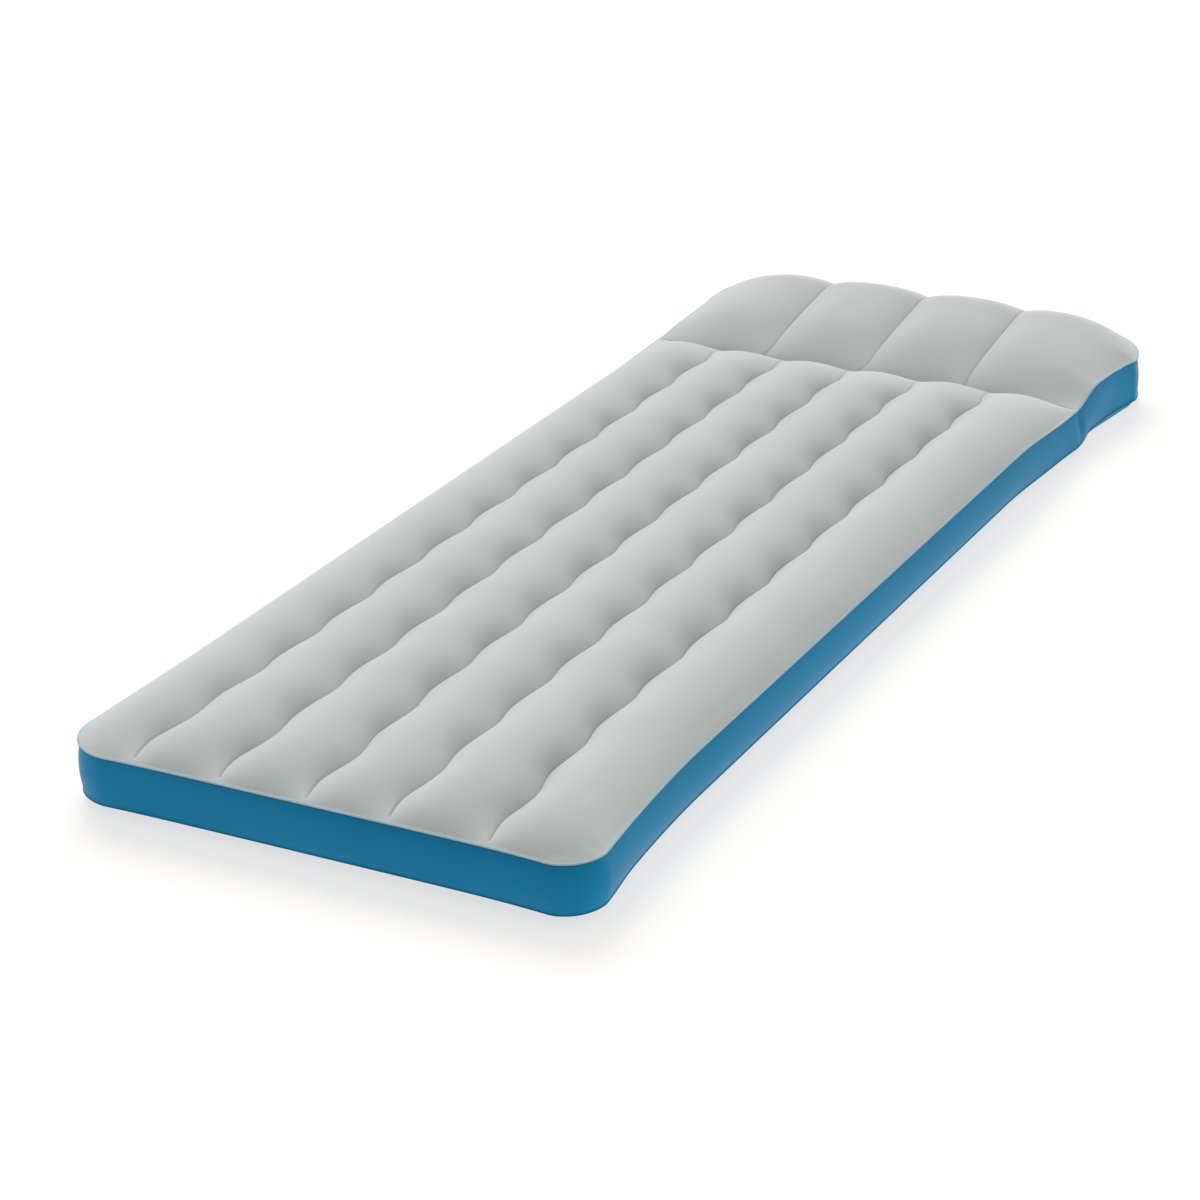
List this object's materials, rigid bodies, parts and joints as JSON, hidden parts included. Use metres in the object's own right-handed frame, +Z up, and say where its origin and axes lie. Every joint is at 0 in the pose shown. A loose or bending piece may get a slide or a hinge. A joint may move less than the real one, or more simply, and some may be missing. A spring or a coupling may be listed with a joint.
{
  "type": "air mattress",
  "caption": "Inflated camping mattress with lengthwise channels between wave-shaped welds, a flocked top, vinyl walls, a raised pillow end and a screw valve with a small cap in one wall.",
  "frame": {"origin": "on the floor, under the middle of the mattress", "axes": "+X to the right seen from the foot end, +Y along the mattress to the pillow, +Z up"},
  "size_m": [0.736, 1.882, 0.1244],
  "materials": {
    "flocked_top": "vinyl film flocked with short grey fibre, matte and soft",
    "vinyl_wall": "semi-gloss blue vinyl film with a fine grain",
    "vinyl_bottom": "satin blue vinyl film with a fine grain",
    "beam_film": "thin satin film",
    "valve_plastic": "moulded soft white plastic, satin",
    "strap_plastic": "flexible white plastic, satin",
    "cap_plastic": "moulded soft white plastic, satin",
    "seal_rubber": "matte dark rubber"
  },
  "bodies": {
    "mattress": {"top_sheet": "flocked_top", "side_wall": "vinyl_wall", "bottom_sheet": "vinyl_bottom", "wave_beam_1": "beam_film", "wave_beam_2": "beam_film", "wave_beam_3": "beam_film", "wave_beam_4": "beam_film", "wave_beam_5": "beam_film", "cross_beam": "beam_film", "pillow_beam_1": "beam_film", "pillow_beam_2": "beam_film", "pillow_beam_3": "beam_film", "valve_base": "valve_plastic", "valve_patch": "vinyl_wall", "tether_strap": "strap_plastic"},
    "tether": {"tether_ring": "strap_plastic"},
    "stopper": {"valve_stopper": "valve_plastic", "stopper_seal": "seal_rubber", "cap_strap": "strap_plastic"},
    "cap": {"inflation_cap": "cap_plastic"},
    "flap": {"flap_valve": "seal_rubber"}
  },
  "joints": [
    {"name": "stopper_lift", "type": "slide", "parent": "mattress", "child": "tether", "axis": [-1, 0, 0], "range_m": [0, 0.007], "deforming": ["tether_strap"]},
    {"name": "stopper_spin", "type": "hinge", "parent": "tether", "child": "stopper", "pos_m": [-0.358, 0.77, 0.045], "axis": [-1, 0, 0], "range_deg": [0, 630]},
    {"name": "cap_hinge", "type": "hinge", "parent": "stopper", "child": "cap", "pos_m": [-0.3652, 0.77, 0.0596], "axis": [0, 1, 0], "range_deg": [0, 150]},
    {"name": "flap_hinge", "type": "hinge", "parent": "stopper", "child": "flap", "pos_m": [-0.3494, 0.77, 0.0556], "axis": [0, -1, 0], "range_deg": [0, 65], "stiffness_Nm_per_rad": 0.0004}
  ],
  "couplings": [
    {"joint": "stopper_lift", "follows": "stopper_spin", "m_per_rad": 0.00063662}
  ]
}
